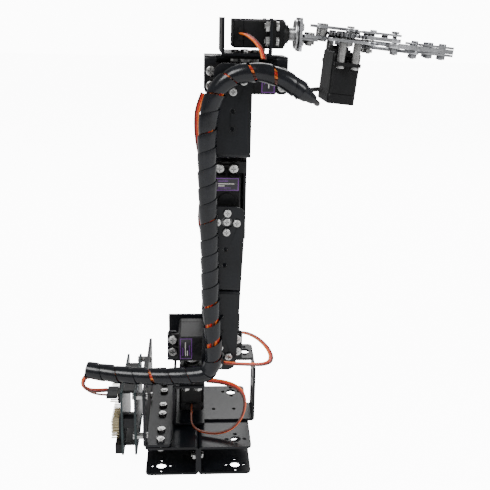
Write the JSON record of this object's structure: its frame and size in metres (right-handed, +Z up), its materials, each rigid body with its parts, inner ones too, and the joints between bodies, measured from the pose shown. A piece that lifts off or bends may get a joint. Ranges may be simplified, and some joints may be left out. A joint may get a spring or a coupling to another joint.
{
  "type": "robot arm with gripper",
  "caption": "Six-servo desktop robot arm of black sheet brackets on a flanged base, with a geared parallel gripper, stacked controller boards and a wrapped wiring harness",
  "frame": {"origin": "Centre of the four corner pilot holes in the base's bottom flanges, on the surface it stands on", "axes": "+Z up, +X the way the gripper reaches, -Y the side of the servo horns and the harness"},
  "size_m": [0.2625, 0.1046, 0.3414],
  "materials": {
    "bracket": "satin black anodised sheet aluminium",
    "servo_case": "fine-textured black plastic",
    "servo_inside": "steel motor can and gears",
    "horn": "turned aluminium",
    "claw_sheet": "brushed aluminium sheet",
    "fastener": "bright plated steel",
    "pin": "gold-plated pins",
    "board": "dark solder mask",
    "header": "black connector plastic",
    "wrap": "black spiral wrap",
    "lead": "three-wire servo lead, brown, red and orange",
    "bearing": "steel flanged bearing"
  },
  "bodies": {
    "base": {"beam_left": "bracket", "beam_right": "bracket", "controller_rail": "bracket", "cradle": "bracket", "pan_holder": "bracket", "pan_servo_case": "servo_case", "pan_servo_drive": "servo_inside", "main_board": "board", "servo_board": "board", "board_headers": "header", "board_pins": "pin", "base_fasteners": "fastener", "harness_base": "wrap", "pan_lead": "lead"},
    "turret": {"pan_horn": "horn", "turret_plate": "bracket", "shoulder_holder": "bracket", "shoulder_servo_case": "servo_case", "shoulder_servo_drive": "servo_inside", "turret_fasteners": "fastener", "harness_swing": "wrap", "shoulder_lead": "lead"},
    "upper_arm": {"shoulder_horn": "horn", "lower_link": "bracket", "upper_link": "bracket", "elbow_horn": "horn", "upper_arm_bearings": "bearing", "upper_arm_fasteners": "fastener", "harness_riser": "wrap"},
    "forearm": {"elbow_holder": "bracket", "elbow_servo_case": "servo_case", "elbow_servo_drive": "servo_inside", "forearm_link": "bracket", "wrist_horn": "horn", "wrist_bearing": "bearing", "forearm_fasteners": "fastener", "harness_forearm": "wrap", "elbow_lead": "lead"},
    "wrist": {"pitch_holder": "bracket", "pitch_servo_case": "servo_case", "roll_holder": "bracket", "roll_servo_case": "servo_case", "wrist_servo_drives": "servo_inside", "wrist_fasteners": "fastener", "harness_wrist": "wrap", "roll_lead": "lead"},
    "claw": {"roll_horn": "horn", "claw_mount": "claw_sheet", "claw_base": "claw_sheet", "claw_cover": "claw_sheet", "claw_fasteners": "fastener", "gripper_servo_case": "servo_case", "gripper_servo_drive": "servo_inside", "gripper_lead": "wrap"},
    "drive_gear": {"drive_arm": "claw_sheet"},
    "driven_gear": {"driven_arm": "claw_sheet"},
    "far_link": {"far_follower": "claw_sheet"},
    "near_link": {"near_follower": "claw_sheet"},
    "far_jaw": {"far_finger": "claw_sheet"},
    "near_jaw": {"near_finger": "claw_sheet"}
  },
  "joints": [
    {"name": "pan", "type": "hinge", "parent": "base", "child": "turret", "pos_m": [-0.0055, -0.001, 0.081], "axis": [0, 0, 1], "range_deg": [-90, 90], "deforming": ["harness_swing", "pan_lead", "harness_base"]},
    {"name": "shoulder", "type": "hinge", "parent": "turret", "child": "upper_arm", "pos_m": [0.015, -0.021, 0.098], "axis": [0, 1, 0], "range_deg": [-90, 90], "deforming": ["harness_riser", "shoulder_lead"]},
    {"name": "elbow", "type": "hinge", "parent": "upper_arm", "child": "forearm", "pos_m": [0.01917, -0.021, 0.20192], "axis": [0, -1, 0], "range_deg": [-90, 90], "deforming": ["harness_forearm"]},
    {"name": "wrist_pitch", "type": "hinge", "parent": "forearm", "child": "wrist", "pos_m": [0.02167, -0.021, 0.29992], "axis": [0, 1, 0], "range_deg": [-90, 60], "deforming": ["harness_wrist"]},
    {"name": "wrist_roll", "type": "hinge", "parent": "wrist", "child": "claw", "pos_m": [0.06887, -0.001, 0.32992], "axis": [1, 0, 0], "range_deg": [-90, 90], "deforming": ["gripper_lead"]},
    {"name": "grip", "type": "hinge", "parent": "claw", "child": "drive_gear", "pos_m": [0.10325, 0.013, 0.32708], "axis": [0.0872, 0, 0.9962], "range_deg": [-24, 36]},
    {"name": "driven_gear_turn", "type": "hinge", "parent": "claw", "child": "driven_gear", "pos_m": [0.10325, -0.015, 0.32708], "axis": [0.0872, 0, 0.9962], "range_deg": [-36, 24]},
    {"name": "far_link_turn", "type": "hinge", "parent": "claw", "child": "far_link", "pos_m": [0.11919, 0.006, 0.32569], "axis": [0.0872, 0, 0.9962], "range_deg": [-24, 36]},
    {"name": "near_link_turn", "type": "hinge", "parent": "claw", "child": "near_link", "pos_m": [0.11919, -0.008, 0.32569], "axis": [0.0872, 0, 0.9962], "range_deg": [-36, 24]},
    {"name": "far_jaw_turn", "type": "hinge", "parent": "drive_gear", "child": "far_jaw", "pos_m": [0.13028, 0.02996, 0.32472], "axis": [0.0872, 0, 0.9962], "range_deg": [-36, 24]},
    {"name": "near_jaw_turn", "type": "hinge", "parent": "driven_gear", "child": "near_jaw", "pos_m": [0.13028, -0.03196, 0.32472], "axis": [0.0872, 0, 0.9962], "range_deg": [-24, 36]}
  ],
  "couplings": [
    {"joint": "driven_gear_turn", "follows": "grip", "ratio": -1},
    {"joint": "far_link_turn", "follows": "grip", "ratio": 1},
    {"joint": "near_link_turn", "follows": "grip", "ratio": -1},
    {"joint": "far_jaw_turn", "follows": "grip", "ratio": -1},
    {"joint": "near_jaw_turn", "follows": "grip", "ratio": 1}
  ]
}
